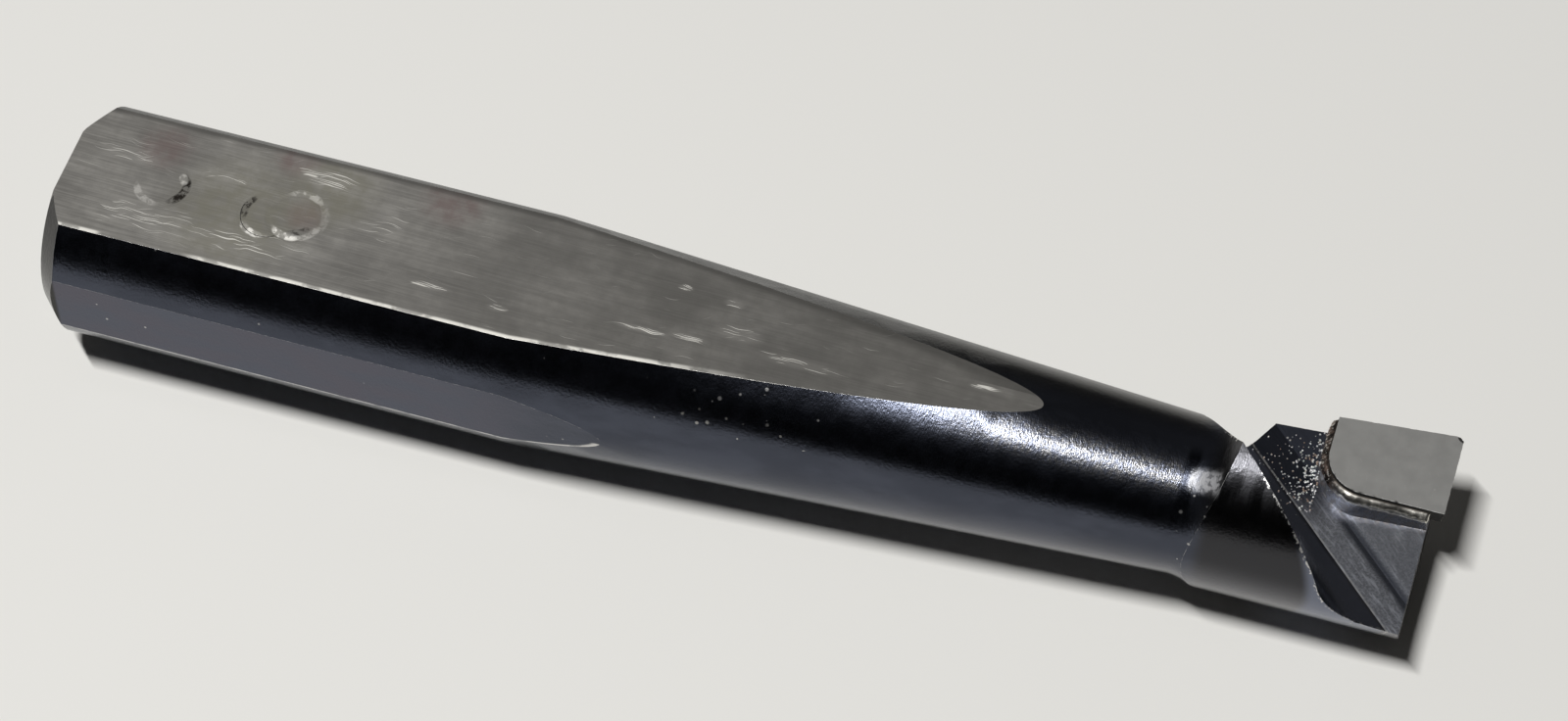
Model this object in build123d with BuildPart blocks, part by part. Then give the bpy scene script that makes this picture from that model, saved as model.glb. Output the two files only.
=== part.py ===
from build123d import *
import os
from math import cos, radians, sin, tan

# Tapered boring bar with a brazed carbide tip.
# The bar's axis runs along X, from the middle of the rear face towards the head.
# +Z points out of the wide screw flat, and +Y is the side on which the cutting tip stands.

# ---------------------------------------------------------------- driving dimensions (mm, degrees)

# Bar
overall_length = 152.4          # rear face to the end cutting edge
shank_diameter = 25.4
shank_length = 53.3             # parallel shank, rear face to the start of the taper
rear_chamfer = 2.3
neck_diameter = 17.2            # thin end of the taper
neck_radius = 6.0               # concave radius where the neck runs up into the head
shoulder_angle = 64.0           # steepest slope of that shoulder, against the axis
head_length = 26.7              # start of the neck radius to the end cutting edge

# Flats for the locking screws
screw_flat_depth = 3.19         # wide flat, along the top
side_flat_depth = 0.64          # shallow flat, on the -Y side

# Marks that cup-point screws have bitten into the wide flat
screw_cup_diameter = 6.0
screw_mark_depth = 0.2
screw_mark_width = 1.1
screw_marks = [(11.0, 0.2, -40, 3.0), (23.3, -0.4, -125, 2.5), (26.3, 0.1, -75, 0.8)]  # x, y, heading, tilt

# Head
least_bore_diameter = 31.75     # smallest hole the tip can bore: twice its reach
tooth_setback = 1.04            # back of the tooth, short of the least bore
heel_step = 0.24                # head above the neck on the side away from the tip
gullet_angle = 45.0             # across the gullet, seen from above, against the axis
gullet_setback = 19.0           # end cutting edge to where the gullet wall crosses the axis
gullet_wall_lean = 8.0
gullet_radius = 5.8             # between the wall of the gullet and the chip floor
gullet_depth = 3.3              # end of that radius, below the centre height
ridge_width = 0.2               # level strip between that radius and the chip floor
chip_floor_fall = 5.5           # slope down to the valley of the chip floor
valley_distance = 3.6           # end of the gullet radius to the valley
chip_floor_rise = 6.0           # slope up again, towards the tip
head_front_setback = 1.5        # steel front face behind the end cutting edge

# Carbide tip
tip_length = 13.4
tip_width = 10.3                # along the end cutting edge
tip_thickness = 1.6
tip_corner_radius = 4.5         # inner rear corner
nose_radius = 0.4
side_edge_angle = 5.5           # outer edge against the axis
side_clearance = 10.0
end_clearance = 10.0

# Seat under the tip, and the braze between them
seat_margin = 0.3               # seat beyond the inner and rear sides of the tip
seat_foot = 0.8                 # the same, at the foot of the seat's flared wall
braze_gap = 0.1
bead_drop = 0.45                # top of the bead below the face of the tip
bead_lip = 0.02                 # width of the bead there, against the side of the tip
bead_setback = 0.4              # end of the bead behind the end cutting edge

# ---------------------------------------------------------------- worked out from the sizes above
shank_r = shank_diameter / 2
neck_r = neck_diameter / 2
tip_r = least_bore_diameter / 2
neck_end = overall_length - head_length
head_front = overall_length - head_front_setback
head_r = (tip_r - tooth_setback + neck_r + heel_step) / 2
head_offset = tip_r - tooth_setback - head_r
seat_height = -tip_thickness - braze_gap
screw_flat_z = shank_r - screw_flat_depth
side_flat_y = shank_r - side_flat_depth
tip_rear = overall_length - tip_length
tip_inner = tip_r - tip_width
far = 2 * shank_diameter        # longer than any cut needs


def tip_outline(grow=0.0):
    """Sketch of the tip seen from above, with its inner and rear sides moved out by grow."""
    rear, inner = tip_rear - grow, tip_inner - grow
    rear_outer = tip_r - (overall_length - rear) * tan(radians(side_edge_angle))
    with BuildSketch(Plane.XY) as outline:
        with BuildLine():
            Polyline((rear, rear_outer), (overall_length, tip_r), (overall_length, inner),
                     (rear, inner), close=True)
        make_face()
        corner = outline.vertices().group_by(Axis.X)[0].sort_by(Axis.Y)[0]
        fillet(corner, radius=tip_corner_radius + grow)
    return outline.sketch


# ---------------------------------------------------------------- steel bar
across_gullet = Vector(1, 0, 0).rotate(Axis.Z, gullet_angle)
along_gullet = Vector(1, 0, 0).rotate(Axis.Z, gullet_angle - 90)
gullet_plane = Plane(origin=(overall_length - gullet_setback, 0, 0),
                     x_dir=across_gullet, z_dir=along_gullet)

# the head's own round, struck from a centre that is offset towards the tip
with BuildPart() as head_round:
    with BuildSketch(Plane.YZ.offset(neck_end)):
        with Locations((head_offset, 0)):
            Circle(head_r)
    extrude(amount=head_front - neck_end)

# everything outside that round, from the neck forwards
with BuildPart() as head_relief:
    with BuildSketch(Plane.YZ.offset(neck_end)):
        Circle(far)
    extrude(amount=head_front - neck_end)
    add(head_round.part, mode=Mode.SUBTRACT)

with BuildPart() as seat:
    with BuildSketch(Plane.XY.offset(seat_height)):
        add(tip_outline(grow=seat_margin))
    with BuildSketch(Plane.XY.offset(-gullet_depth - seat_foot)):
        add(tip_outline(grow=seat_foot))
    loft()
    add(head_round.part, mode=Mode.INTERSECT)

with BuildPart() as bar:
    # turned form: chamfer, shank, taper, and the neck's radius up to the round blank of the head
    with BuildSketch(Plane.XZ):
        with BuildLine():
            Polyline((0, 0), (0, shank_r - rear_chamfer), (rear_chamfer, shank_r),
                     (shank_length, shank_r), (neck_end, neck_r))
            neck_arc = CenterArc((neck_end, neck_r + neck_radius), neck_radius, -90, shoulder_angle)
            shoulder = neck_arc @ 1
            shoulder_run = (tip_r - shoulder.Y) / tan(radians(shoulder_angle))
            Polyline(shoulder, (shoulder.X + shoulder_run, tip_r),
                     (head_front, tip_r), (head_front, 0), (0, 0))
        make_face()
    revolve(axis=Axis.X)

    # head relieved off-centre, so that only the tooth reaches out towards the bore
    add(head_relief.part, mode=Mode.SUBTRACT)

    # the two flats run along the shank and out through the taper
    with BuildSketch(Plane.YZ):
        with Locations((0, screw_flat_z + far / 2), (-side_flat_y - far / 2, 0)):
            Rectangle(far, far)
    extrude(amount=neck_end, mode=Mode.SUBTRACT)

    # gullet: leaning wall, floor radius, and a chip floor with a shallow valley
    with BuildSketch(gullet_plane):
        lean = tan(radians(gullet_wall_lean))
        radius_reach = gullet_radius * tan(radians(45 - gullet_wall_lean / 2))
        wall_top = Vector(-far * lean, far)
        wall_foot = Vector(gullet_depth * lean, -gullet_depth)
        ridge = wall_foot + Vector(radius_reach + ridge_width, 0)
        valley = ridge + Vector(valley_distance, -valley_distance * tan(radians(chip_floor_fall)))
        floor_end = Vector(far, valley.Y + (far - valley.X) * tan(radians(chip_floor_rise)))
        with BuildLine():
            FilletPolyline(wall_top, wall_foot, ridge, radius=gullet_radius)
            Polyline(ridge, valley, floor_end, (far, far), wall_top)
        make_face()
    extrude(amount=far, both=True, mode=Mode.SUBTRACT)

    # the seat stands out of the chip floor
    add(seat.part)

    # bites of the cup-point screws, each deeper on one side because the screw stood askew
    for x, y, heading, tilt in screw_marks:
        sink = screw_mark_width / 2 - screw_mark_depth + screw_cup_diameter / 2 * sin(radians(tilt))
        ring = Location((x, y, screw_flat_z + sink), (0, 0, heading)) * Location((0, 0, 0), (0, tilt, 0))
        with Locations(ring):
            Torus(screw_cup_diameter / 2, screw_mark_width / 2, mode=Mode.SUBTRACT)
bar.part.label = "bar"


# ---------------------------------------------------------------- carbide tip
with BuildPart() as carbide_tip:
    with BuildSketch(Plane.XY):
        add(tip_outline())
    extrude(amount=-tip_thickness)

    # clearance ground below the two cutting edges, inwards and down
    nose = Vector(overall_length, tip_r, 0)
    down = Vector(0, 0, -1)
    side_out = Vector(0, 1, 0).rotate(Axis.Z, side_edge_angle)
    end_out = Vector(1, 0, 0)
    for outward, clearance in ((side_out, side_clearance), (end_out, end_clearance)):
        facing = outward * cos(radians(clearance)) + down * sin(radians(clearance))
        split(bisect_by=Plane(origin=nose, z_dir=facing), keep=Keep.BOTTOM)
    nose_edge = carbide_tip.edges().sort_by_distance(nose + down * tip_thickness / 2)[0]
    fillet(nose_edge, radius=nose_radius)
carbide_tip.part.label = "carbide_tip"


# ---------------------------------------------------------------- braze
with BuildPart() as braze_joint:
    # the bead: as wide as the seat at the foot of the tip, and nothing near its face
    with BuildSketch(Plane.XY.offset(-bead_drop)):
        add(tip_outline(grow=bead_lip))
    with BuildSketch(Plane.XY.offset(seat_height)):
        add(tip_outline(grow=seat_margin))
    loft()
    split(bisect_by=Plane.YZ.offset(overall_length - bead_setback), keep=Keep.BOTTOM)
    add(head_round.part, mode=Mode.INTERSECT)
    add(carbide_tip.part, mode=Mode.SUBTRACT)
braze_joint.part.label = "braze_joint"


os.makedirs("parts", exist_ok=True)
for piece in (bar, carbide_tip, braze_joint):
    export_step(piece.part, f"parts/{piece.part.label}.step")
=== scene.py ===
"""Finish and stage for a tapered boring bar with a brazed carbide tip.

Lengths are metres. The bar's axis runs along X towards the head, +Z points out of the wide
screw flat, and +Y is the side on which the cutting tip stands.
"""
import math
import random
from functools import partial
from types import SimpleNamespace

import bmesh
import bpy
from mathutils import Matrix, Vector, noise
from mathutils.bvhtree import BVHTree
from mathutils.kdtree import KDTree


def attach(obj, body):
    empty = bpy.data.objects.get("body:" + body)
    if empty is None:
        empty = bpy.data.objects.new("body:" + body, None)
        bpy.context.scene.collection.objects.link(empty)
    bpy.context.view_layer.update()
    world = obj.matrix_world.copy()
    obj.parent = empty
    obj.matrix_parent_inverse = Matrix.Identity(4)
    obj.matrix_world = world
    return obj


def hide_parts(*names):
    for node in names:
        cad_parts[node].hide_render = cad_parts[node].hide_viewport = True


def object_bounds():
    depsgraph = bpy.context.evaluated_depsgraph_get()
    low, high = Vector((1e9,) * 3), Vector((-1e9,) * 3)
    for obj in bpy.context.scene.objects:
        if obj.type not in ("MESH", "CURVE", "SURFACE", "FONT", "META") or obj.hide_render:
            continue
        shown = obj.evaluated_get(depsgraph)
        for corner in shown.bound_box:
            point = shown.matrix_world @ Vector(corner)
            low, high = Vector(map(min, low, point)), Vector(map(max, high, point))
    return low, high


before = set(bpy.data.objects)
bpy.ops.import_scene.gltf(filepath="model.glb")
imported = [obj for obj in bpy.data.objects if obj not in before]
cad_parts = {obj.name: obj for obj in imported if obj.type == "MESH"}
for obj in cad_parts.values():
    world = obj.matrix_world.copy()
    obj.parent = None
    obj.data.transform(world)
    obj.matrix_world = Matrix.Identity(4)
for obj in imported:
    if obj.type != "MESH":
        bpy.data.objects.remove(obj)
CAD_LOW, CAD_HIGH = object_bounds()

bl_info = {
    "name": "Brazed Boring Bar",
    "version": (1, 0, 0),
    "blender": (4, 5, 0),
    "location": "View3D > Sidebar > Boring Bar",
    "description": "Finishes a tapered boring bar with a brazed carbide tip, and sets its stage",
    "category": "Add Mesh",
}

MM = 0.001

# Places on the bar, in millimetres from the middle of its rear face
FLAT_HEIGHT = 9.51              # of the wide screw flat
SHANK_END = 53.3
NECK_END = 125.7
HEAD_FRONT = 150.9
CHIP_FLOOR_TOP = -3.2
SEAT_TOP = -1.7
FLOOR_AT_SHANK = -12.7          # what the bar lies on, under the shank's front end
FLOOR_AT_HEAD = -11.84          # and under the head
TIP_CORNER = (143.5, 10.075)    # centre of the tip's inner rear corner
TIP_CORNER_RADIUS = 4.5
TIP_REAR = 139.0
NOSE = (152.4, 15.875, 0.0)
SHANK_RADIUS = 12.7
TAPER = 4.1 / 72.4              # how much the radius falls for each millimetre along the taper
SIDE_FLAT = -12.06
GULLET = (133.4, 0.0, 0.0)      # where the gullet's wall crosses the axis
ACROSS_GULLET = (math.sqrt(0.5), math.sqrt(0.5), 0.0)
RIDGE = 5.6                     # across the gullet, from its wall to the ridge of the chip floor
VALLEY = 9.3                    # and to the valley
FLOOR_SLOPES = (math.radians(5.5), math.radians(-6.0), 0.0)     # of the chip floor's three planes

# Crescents bitten by the locking screws, their lit and shaded walls painted as bright and dark
# crescents: x and y of the ring's middle, heading and half sweep of the crescent in degrees, its
# radius, and its shine, which is below 0 where it is painted shade and above 0 where it is a
# painted highlight
CRESCENTS = (
    (11.0, 0.2, -12.0, 62.0, 2.60, -1.0), (11.0, 0.2, 28.0, 26.0, 2.2, 0.5),
    (11.0, 0.2, -125.0, 50.0, 2.9, 0.3), (23.3, -0.4, 172.0, 46.0, 2.6, -0.9),
    (23.3, -0.4, -112.0, 38.0, 3.0, 1.0), (26.3, 0.1, -98.0, 46.0, 2.75, 1.0),
    (26.3, 0.1, 84.0, 46.0, 3.2, 0.4), (26.3, 0.1, 10.0, 60.0, 3.2, 0.14),
    (26.3, 0.1, -40.0, 34.0, 2.9, 0.30), (26.3, 0.1, -60.0, 44.0, 2.2, -0.7),
)
# Patches on the wide flat where scratches gather: x, y, half sizes, share
SCRATCHED = (
    (27.5, 6.0, 4.6, 1.5, 0.75), (43.2, -4.4, 2.6, 0.5, 0.80), (6.5, 2.8, 4.0, 1.4, 0.50),
    (10.0, -4.6, 7.0, 2.6, 0.50), (23.0, -4.8, 9.0, 2.2, 0.46), (17.0, 2.9, 6.0, 0.6, 0.55),
    (36.0, 1.2, 3.0, 3.5, 0.30), (66.5, -3.1, 3.2, 0.5, 0.75), (71.5, -2.7, 2.6, 0.5, 0.70),
    (76.5, -0.6, 3.2, 1.2, 0.46), (83.5, -2.4, 6.0, 0.9, 0.46), (103.2, 0.3, 2.0, 0.5, 0.55),
    (51.0, -5.0, 1.4, 0.6, 0.60), (74.9, 3.0, 1.4, 0.6, 0.60), (69.3, 3.5, 1.0, 0.5, 0.60),
)
# Stains on the wide flat: x, y, radius, colour, share
PINK, STRAW = (0.235, 0.155, 0.150), (0.275, 0.264, 0.209)
STAINS = (
    (9.5, 4.9, 3.6, PINK, 0.40), (42.0, 7.2, 4.2, PINK, 0.45), (24.0, 7.8, 3.2, PINK, 0.50),
    (27.2, 0.6, 2.6, PINK, 0.50), (20.0, -1.5, 9.0, STRAW, 0.60), (29.0, 4.5, 6.0, STRAW, 0.60),
)


# ------------------------------------------------------------------------------ settings

colour_setting = partial(bpy.props.FloatVectorProperty, size=3, subtype="COLOR")
length_setting = partial(bpy.props.FloatProperty, min=0.0, subtype="DISTANCE", unit="LENGTH")


class BarSettings(bpy.types.PropertyGroup):
    """Sizes and colours of the steel bar."""
    edge_break: length_setting(
        name="Edge break", description="Width of the worn bevel along hard edges",
        default=0.10 * MM)
    slice_pitch: length_setting(
        name="Mesh pitch", description="Spacing of the cuts that divide the bar's faces",
        default=1.2 * MM, min=0.2 * MM)
    chip_depth: length_setting(
        name="Chip depth", description="Deepest chip along a hard edge",
        default=0.09 * MM)
    oxide_colour: colour_setting(
        name="Oxide", description="Black oxide on the turned surfaces",
        default=(0.062, 0.068, 0.088))
    milled_colour: colour_setting(
        name="Milled oxide", description="Black oxide on the milled chip floor",
        default=(0.27, 0.28, 0.31))
    steel_colour: colour_setting(
        name="Ground steel", description="Bare steel of the wide screw flat",
        default=(0.294, 0.284, 0.264))
    # bright steel of worn edges, chips and specks, also used for the painted highlight along the
    # shoulder's edge and the painted reflection along the side flat's lower edge
    worn_and_highlight_colour: colour_setting(
        name="Worn steel", description="Bright steel where the oxide has worn through",
        default=(0.70, 0.69, 0.67))


class TipSettings(bpy.types.PropertyGroup):
    """Sizes and colours of the carbide tip."""
    edge_break: length_setting(
        name="Edge break", description="Width of the honed bevel along the tip's edges",
        default=0.04 * MM)
    carbide_colour: colour_setting(
        name="Carbide", description="Ground face of the tip",
        default=(0.385, 0.381, 0.366))


class BrazeSettings(bpy.types.PropertyGroup):
    """Sizes and colours of the braze."""
    bead_swell: length_setting(
        name="Bead swell", description="How far the braze bead rolls out",
        default=0.55 * MM)
    droplets: bpy.props.IntProperty(
        name="Droplets", description="Droplets of braze behind the tip", default=260, min=0)
    braze_colour: colour_setting(
        name="Braze", description="Bright silver braze",
        default=(0.90, 0.87, 0.79))
    tarnish_and_shade_colour: colour_setting(
        name="Tarnish", description="Tarnish at the foot of the braze",
        default=(0.045, 0.036, 0.030))


class StageSettings(bpy.types.PropertyGroup):
    """Floor and light."""
    floor_colour: colour_setting(
        name="Floor", description="Pale floor",
        default=(0.80, 0.79, 0.755))
    lamp_power: bpy.props.FloatProperty(
        name="Lamp", description="Power of the soft lamp", default=13.7, min=0.0, unit="POWER")


def settings_of(context):
    """The four groups of settings, by name."""
    scene = context.scene
    return scene.boring_bar, scene.boring_tip, scene.boring_braze, scene.boring_stage


# ------------------------------------------------------------------------------ node helpers

def add(kind, fill, **settings):
    """Adds a node beside those it is fed by, and fills or links its inputs by name or number."""
    tree = next(value for value in fill.values() if isinstance(value, bpy.types.NodeSocket)).id_data
    node = tree.nodes.new(kind)
    for name, value in settings.items():
        setattr(node, name, value)
    for key, value in fill.items():
        socket = node.inputs[key]
        if isinstance(value, bpy.types.NodeSocket):
            tree.links.new(value, socket)
        elif socket.type == "RGBA":
            socket.default_value = (*value[:3], 1.0)
        else:
            socket.default_value = value
    return node


def calc(operation, a, b=0.0):
    """One Math node's result."""
    return add("ShaderNodeMath", {0: a, 1: b}, operation=operation).outputs[0]


def vector(operation, a, b=(0.0, 0.0, 0.0)):
    """One Vector Math node's vector."""
    return add("ShaderNodeVectorMath", {0: a, 1: b}, operation=operation).outputs[0]


def length(of):
    """The length of a vector."""
    return add("ShaderNodeVectorMath", {0: of}, operation="LENGTH").outputs["Value"]


def from_above(of):
    """A vector without its height."""
    return vector("MULTIPLY", of, (1.0, 1.0, 0.0))


def about_z(place, angle):
    """A place turned about the Z axis."""
    return add("ShaderNodeVectorRotate", {"Vector": place, "Angle": angle},
               rotation_type="Z_AXIS").outputs[0]


def join(x, y, z):
    """A vector made of three values."""
    return add("ShaderNodeCombineXYZ", {"X": x, "Y": y, "Z": z}).outputs[0]


def part(of):
    """The three values X, Y and Z of a vector."""
    return add("ShaderNodeSeparateXYZ", {0: of}).outputs


def noise_of(place, scale=1.0, detail=2.0, roughness=0.5):
    """A noise texture's value."""
    return add("ShaderNodeTexNoise", {
        "Vector": place, "Scale": scale, "Detail": detail, "Roughness": roughness}).outputs["Fac"]


def span(value, low, high, to_low=0.0, to_high=1.0):
    """value eased from low..high to to_low..to_high."""
    fill = {"Value": value, "From Min": low, "From Max": high, "To Min": to_low, "To Max": to_high}
    return add("ShaderNodeMapRange", fill, interpolation_type="SMOOTHSTEP").outputs["Result"]


def fade(value, low, high):
    """A mask that eases from 1 at low to 0 at high."""
    return span(value, low, high, 1.0, 0.0)


def band(value, middle, core, reach):
    """A mask that is 1 within core of the middle value, and 0 beyond reach."""
    return fade(calc("ABSOLUTE", calc("SUBTRACT", value, middle)), core, reach)


def either(*masks):
    """The strongest of several masks."""
    result = masks[0]
    for mask in masks[1:]:
        result = calc("MAXIMUM", result, mask)
    return result


def both(*masks):
    """The product of several masks."""
    result = masks[0]
    for mask in masks[1:]:
        result = calc("MULTIPLY", result, mask)
    return result


def blend(share, first, second):
    """Colour that goes from first to second as share goes from 0 to 1."""
    return add("ShaderNodeMix", {0: share, 6: first, 7: second}, data_type="RGBA").outputs[2]


def coats(colour, *layers):
    """A colour with others laid over it in turn, each with its mask."""
    for mask, over in layers:
        colour = blend(mask, colour, over)
    return colour


def levels(value, *layers):
    """A value that others replace in turn, each with its mask."""
    for mask, over in layers:
        value = add("ShaderNodeMix", {0: mask, 2: value, 3: over}, data_type="FLOAT").outputs[0]
    return value


def times(colour, factor):
    """A colour made lighter or darker."""
    return [channel * factor for channel in colour]


# ------------------------------------------------------------------------------ shared effects

def new_group(name, result, **inputs):
    """A node group that takes a place and these inputs, given with their defaults."""
    group = bpy.data.node_groups.new(name, "ShaderNodeTree")
    group.interface.new_socket(name="Place", in_out="INPUT", socket_type="NodeSocketVector")
    for label, default in inputs.items():
        kind = "NodeSocketVector" if isinstance(default, tuple) else "NodeSocketFloat"
        socket = group.interface.new_socket(name=label, in_out="INPUT", socket_type=kind)
        socket.default_value = default
    group.interface.new_socket(name=result, in_out="OUTPUT", socket_type="NodeSocketFloat")
    given, out = group.nodes.new("NodeGroupInput"), group.nodes.new("NodeGroupOutput")
    return group, given.outputs, out.inputs[0]


def make_mottle():
    """Soft clouds of one size, as a mask from 0 to 1."""
    group, given, out = new_group("mottle", "Mask", Size=3.0, Detail=3.0)
    scale = calc("DIVIDE", 1.0, given["Size"])
    clouds = noise_of(given["Place"], scale, given["Detail"], 0.55)
    group.links.new(span(clouds, 0.3, 0.7), out)
    return group


def make_scratches():
    """Fine tapering scratches along one heading, as a mask."""
    group, given, out = new_group(
        "fine_scratches", "Mask", Heading=0.0, Length=3.0, Width=0.08, Share=0.2)
    turned = about_z(given["Place"], given["Heading"])
    waver = span(noise_of(given["Place"], 0.3, 1.0), 0.3, 0.7, -0.25, 0.25)
    place = vector("DIVIDE", vector("ADD", turned, join(0.0, waver, 0.0)),
                   join(given["Length"], given["Width"], given["Length"]))
    low = calc("SUBTRACT", 0.82, calc("MULTIPLY", given["Share"], 0.4))
    high = calc("ADD", low, 0.05)
    group.links.new(span(noise_of(place, detail=0.0), low, high), out)
    return group


def make_specks():
    """Scattered round specks, as a mask."""
    group, given, out = new_group("specks", "Mask", Spacing=1.0, Radius=0.2, Share=0.3)
    cells = add("ShaderNodeTexVoronoi", {
        "Vector": given["Place"], "Scale": calc("DIVIDE", 1.0, given["Spacing"])})
    luck = add("ShaderNodeSeparateColor", {"Color": cells.outputs["Color"]})
    reach = both(given["Radius"], luck.outputs["Green"])
    dot = fade(cells.outputs["Distance"], calc("MULTIPLY", reach, 0.5), reach)
    shown = calc("LESS_THAN", luck.outputs["Red"], given["Share"])
    group.links.new(both(dot, shown), out)
    return group


def make_crescent():
    """A crescent-shaped bite on a ring, seen from above, as a mask."""
    group, given, out = new_group(
        "crescent", "Mask", Centre=(0.0, 0.0, 0.0), Heading=0.0, Sweep=0.8, Radius=3.0)
    off = vector("SUBTRACT", given["Place"], given["Centre"])
    flat = from_above(about_z(off, calc("MULTIPLY", given["Heading"], -1.0)))
    axes = part(flat)
    turn = calc("ABSOLUTE", calc("ARCTAN2", axes["Y"], axes["X"]))
    share = fade(calc("DIVIDE", turn, given["Sweep"]), 0.4, 1.0)
    gap = calc("ABSOLUTE", calc("SUBTRACT", length(flat), given["Radius"]))
    reach = calc("ADD", 0.12, calc("MULTIPLY", share, 0.42))
    ring = fade(calc("DIVIDE", gap, reach), 0.5, 1.0)
    group.links.new(both(ring, share), out)
    return group


def make_patch():
    """A soft-edged oblong area seen from above, as a mask."""
    group, given, out = new_group("patch", "Mask", Centre=(0.0, 0.0, 0.0), Reach=(1.0, 1.0, 1.0))
    off = vector("DIVIDE", vector("SUBTRACT", given["Place"], given["Centre"]), given["Reach"])
    group.links.new(fade(length(from_above(off)), 0.35, 1.1), out)
    return group


def make_grain():
    """Height of a fine blasted or sintered grain."""
    group, given, out = new_group("grain", "Height", Size=0.15)
    scale = calc("DIVIDE", 1.0, given["Size"])
    group.links.new(noise_of(given["Place"], scale, 2.0, 0.6), out)
    return group


def make_cutter_lines():
    """Height of the fine parallel lines that a cutter or a grinding wheel leaves."""
    group, given, out = new_group("cutter_lines", "Height", Heading=0.0, Length=8.0, Pitch=0.15)
    turned = about_z(given["Place"], given["Heading"])
    stretch = join(given["Length"], given["Pitch"], given["Length"])
    group.links.new(noise_of(vector("DIVIDE", turned, stretch)), out)
    return group


GROUP_MAKERS = {
    "mottle": make_mottle, "fine_scratches": make_scratches, "specks": make_specks,
    "patch": make_patch, "grain": make_grain, "cutter_lines": make_cutter_lines,
    "crescent": make_crescent,
}


def use(name, place, **fill):
    """The result of a shared effect, whose group is made the first time it is used."""
    group = bpy.data.node_groups.get(name) or GROUP_MAKERS[name]()
    return add("ShaderNodeGroup", {"Place": place, **fill}, node_tree=group).outputs[0]


# ------------------------------------------------------------------------------ materials

# the screw bites' painted shade and painted highlight
BITE_SHADE, BITE_HIGHLIGHT = (0.030, 0.026, 0.022), (0.96, 0.94, 0.89)
# fresh scratches, and the painted highlight along the flat's front edge
FRESH_SCRATCH_AND_HIGHLIGHT = (0.98, 0.96, 0.90)
RUBBED_AND_HIGHLIT_OXIDE, SHADED_BACK_OXIDE = (0.108, 0.108, 0.111), (0.035, 0.034, 0.033)
HEAD_OXIDE, TEMPER = (0.050, 0.050, 0.054), (0.100, 0.097, 0.122)
# colour of the painted highlight on the neck's radius
NECK_HIGHLIGHT = (0.46, 0.46, 0.47)
FLUX_DARK, FLUX_LIGHT = (0.035, 0.030, 0.028), (0.30, 0.25, 0.21)
HONED_EDGE = (0.6, 0.6, 0.58)
COPPER, BURNT_COPPER, COPPER_GLINT = (0.25, 0.185, 0.155), (0.05, 0.042, 0.038), (0.85, 0.80, 0.74)
DROPLET, TARNISHED_DROPLET = (0.96, 0.96, 0.95), (0.45, 0.34, 0.27)

# Zones of the bar's finish, in millimetres, or in radians about the bar's axis from +Z towards -Y:
# where a change starts and ends, or a band's middle, and how far from it the band starts to fade
# and has gone
BRUSHED_END, FLAT_DULLS, FLAT_CLEARS = (30.0, 55.0), (18.0, 80.0), (95.0, 120.0)
# where along the flat's front edge its bright line lies: partly wear, partly a painted highlight
EDGE_BRIGHT, REAR_BRIGHT = (16.0, 19.0), (4.3, 2.0, 3.0)     # along the flat's front edge
EDGE_LINE_END, EDGE_BEVEL_END, EDGE_HEIGHT = (66.0, 82.0), (74.0, 88.0), (9.25, 9.35)
# the far (+Y) side, whose oxide is darkened as painted shade, and where its roughness rises
FAR_SIDE, FAR_SIDE_ROUGH = (1.0, 5.0), (5.0, 9.0)
REAR_END, CHAMFER_END, TEMPER_END = (0.6, 2.0), (2.1, 2.5), (46.0, 62.0)
# the band along the lamp's highlight stripe on the taper, where the oxide is lighter: partly wear,
# partly a painted highlight
RUBBED_HIGHLIGHT_TURN, RUBBED_HIGHLIGHT_START, RUBBED_HIGHLIGHT_END = (0.42, 0.10, 0.34), (94.0, 112.0), (125.4, 126.0)
# the lower side of the taper, neck and head, where the floor's reflection is painted in
LOW_SIDE_TURN, LOW_SIDE_TURN_END, LOW_SIDE_START = (1.3, 2.0), (2.3, 3.0), (66.0, 120.0)
# the band of the head's highlight, in which its drip streaks are painted lighter as highlight
DRIP_HIGHLIGHT_TURN, HEAD_START = (0.2, 0.20, 0.48), (NECK_END + 2.0, NECK_END + 4.0)
# where the neck's radius gets painted shade at its foot, and a painted highlight up to the head
NECK_FOOT_SHADE_TURN, NECK_FOOT_SHADE_PLACE = (0.4, 0.25, 0.5), (126.3, 0.4, 1.0)
NECK_HIGHLIGHT_TURN, NECK_HIGHLIGHT_START, NECK_HIGHLIGHT_END = (0.40, 0.05, 0.20), (126.0, 128.0), (129.4, 130.0)
# the shoulder's edge, bright as a painted highlight where it catches the lamp
SHOULDER_TURN, SHOULDER_PLACE = (0.25, 0.35, 0.50), (130.0, 2.0, 2.6)
UPPER_RIM, RIDGE_FOOT, SIDE_LINE_HEIGHT = (-4.0, 3.0), (-3.1, -3.0), (-0.6, -0.3)
SPECK_TURN, SPECK_TURN_START = (0.75, 0.2, 0.5), (0.48, 0.58)
SPECKS_ON_TAPER, SPECKS_AT_NECK = (78.0, 4.0, 12.0), (126.5, 1.5, 4.0)
SPATTER_END, SPATTER_SIDE = (138.5, 140.5), (1.0, 5.0)
BLACK_BACK_SIDE, BLACK_BACK_END, VALLEY_END = (1.0, 7.0), (137.0, 143.0), (3.5, 6.0)
FLUX_REACH, FLUX_HEIGHT = (0.3, 1.5), (-4.4, -3.2)
# The same on the carbide and the braze
TIP_TOP, COPPERY, BEAD_END = (-0.06, -0.01), (139.6, 141.6), (151.2, 151.6)
# the top of the bead, under the tip, holds a groove of painted shade
BEAD_FOOT, BEAD_GROOVE = (-1.62, -1.30), (-0.56, -0.48)

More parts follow.
